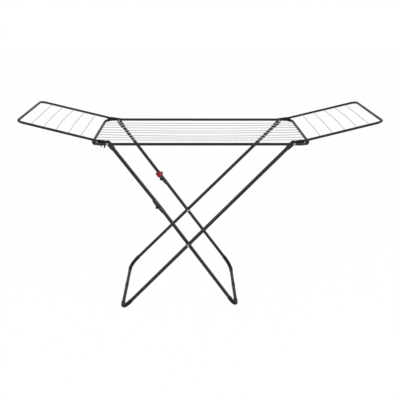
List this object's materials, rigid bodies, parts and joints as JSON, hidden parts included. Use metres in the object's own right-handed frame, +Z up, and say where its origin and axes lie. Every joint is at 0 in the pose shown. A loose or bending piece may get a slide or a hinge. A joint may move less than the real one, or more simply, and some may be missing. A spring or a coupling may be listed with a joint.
{
  "type": "clothes drying rack",
  "caption": "Folding clothes airer: X-shaped tube legs carry a level wire frame, with an upturned wire wing on each end, hinged knees and a sliding safety catch.",
  "frame": {"origin": "on the floor, under the middle of the level wire frame", "axes": "+X along the rack towards the right wing, +Y from front to back, +Z up"},
  "size_m": [1.7658, 0.5716, 1.0244],
  "materials": {
    "tube_paint": "satin dark grey powder coat",
    "wire_coat": "pale grey coated steel wire",
    "rivet_steel": "bright plated steel",
    "black_plastic": "black moulded plastic",
    "foot_plastic": "dark grey moulded plastic",
    "rest_rubber": "black rubber",
    "catch_plastic": "red moulded plastic"
  },
  "bodies": {
    "outer_leg": {"cross_rivets": "rivet_steel", "cross_spacers": "black_plastic", "outer_foot_bar_joint": "foot_plastic", "outer_foot_sleeve_front": "foot_plastic", "outer_foot_sleeve_rear": "foot_plastic", "outer_leg_eye_front": "black_plastic", "outer_leg_eye_rear": "black_plastic", "outer_leg_tube": "tube_paint"},
    "frame": {"centre_wire_1": "wire_coat", "centre_wire_2": "wire_coat", "centre_wire_3": "wire_coat", "centre_wire_4": "wire_coat", "centre_wire_5": "wire_coat", "centre_wire_6": "wire_coat", "centre_wire_7": "wire_coat", "centre_wire_8": "wire_coat", "frame_tube": "tube_paint", "left_pivot_rivets": "rivet_steel", "left_pivot_spacers": "black_plastic", "right_pivot_rivets": "rivet_steel", "right_pivot_spacers": "black_plastic", "wing_rest_left_front": "rest_rubber", "wing_rest_left_rear": "rest_rubber", "wing_rest_right_front": "rest_rubber", "wing_rest_right_rear": "rest_rubber"},
    "left_wing": {"left_front_hook_sleeve": "black_plastic", "left_rear_wing_sleeve": "black_plastic", "left_wing_plugs": "black_plastic", "left_wing_tube": "tube_paint", "left_wing_wire_1": "wire_coat", "left_wing_wire_2": "wire_coat", "left_wing_wire_3": "wire_coat", "left_wing_wire_4": "wire_coat", "left_wing_wire_5": "wire_coat"},
    "right_wing": {"right_front_wing_sleeve": "black_plastic", "right_rear_wing_sleeve": "black_plastic", "right_wing_plugs": "black_plastic", "right_wing_tube": "tube_paint", "right_wing_wire_1": "wire_coat", "right_wing_wire_2": "wire_coat", "right_wing_wire_3": "wire_coat", "right_wing_wire_4": "wire_coat", "right_wing_wire_5": "wire_coat"},
    "inner_lower_leg": {"inner_foot_bar_joint": "foot_plastic", "inner_foot_sleeve_front": "foot_plastic", "inner_foot_sleeve_rear": "foot_plastic", "inner_lower_leg_tube": "tube_paint", "lower_knee_bracket_front": "black_plastic", "lower_knee_bracket_rear": "black_plastic"},
    "inner_upper_leg": {"inner_leg_eye_front": "black_plastic", "inner_leg_eye_rear": "black_plastic", "inner_leg_studs": "rivet_steel", "inner_upper_leg_tube_front": "tube_paint", "inner_upper_leg_tube_rear": "tube_paint", "knee_pins": "black_plastic", "upper_knee_bracket_front": "black_plastic", "upper_knee_bracket_rear": "black_plastic"},
    "safety_catch": {"safety_catch": "catch_plastic"}
  },
  "joints": [
    {"name": "frame_fold", "type": "hinge", "parent": "outer_leg", "child": "frame", "pos_m": [0.45, 0, 0.912], "axis": [0, -1, 0], "range_deg": [0, 42.69]},
    {"name": "leg_scissor", "type": "hinge", "parent": "outer_leg", "child": "inner_lower_leg", "pos_m": [-0.06434, 0, 0.37577], "axis": [0, 1, 0], "range_deg": [0, 79.97]},
    {"name": "knee", "type": "hinge", "parent": "inner_lower_leg", "child": "inner_upper_leg", "pos_m": [-0.22248, 0, 0.57189], "axis": [0, -1, 0], "range_deg": [0, 176.35]},
    {"name": "left_wing_fold", "type": "hinge", "parent": "frame", "child": "left_wing", "pos_m": [-0.45, 0, 0.912], "axis": [0, 1, 0], "range_deg": [0, 160]},
    {"name": "right_wing_fold", "type": "hinge", "parent": "frame", "child": "right_wing", "pos_m": [0.45, 0, 0.912], "axis": [0, -1, 0], "range_deg": [0, 160]},
    {"name": "catch_slide", "type": "slide", "parent": "inner_upper_leg", "child": "safety_catch", "axis": [-0.587, 0.022, 0.8093], "range_m": [0, 0.02]}
  ],
  "couplings": [
    {"joint": "leg_scissor", "follows": "frame_fold", "ratio": 1.8731},
    {"joint": "knee", "follows": "frame_fold", "ratio": 4.1307}
  ]
}
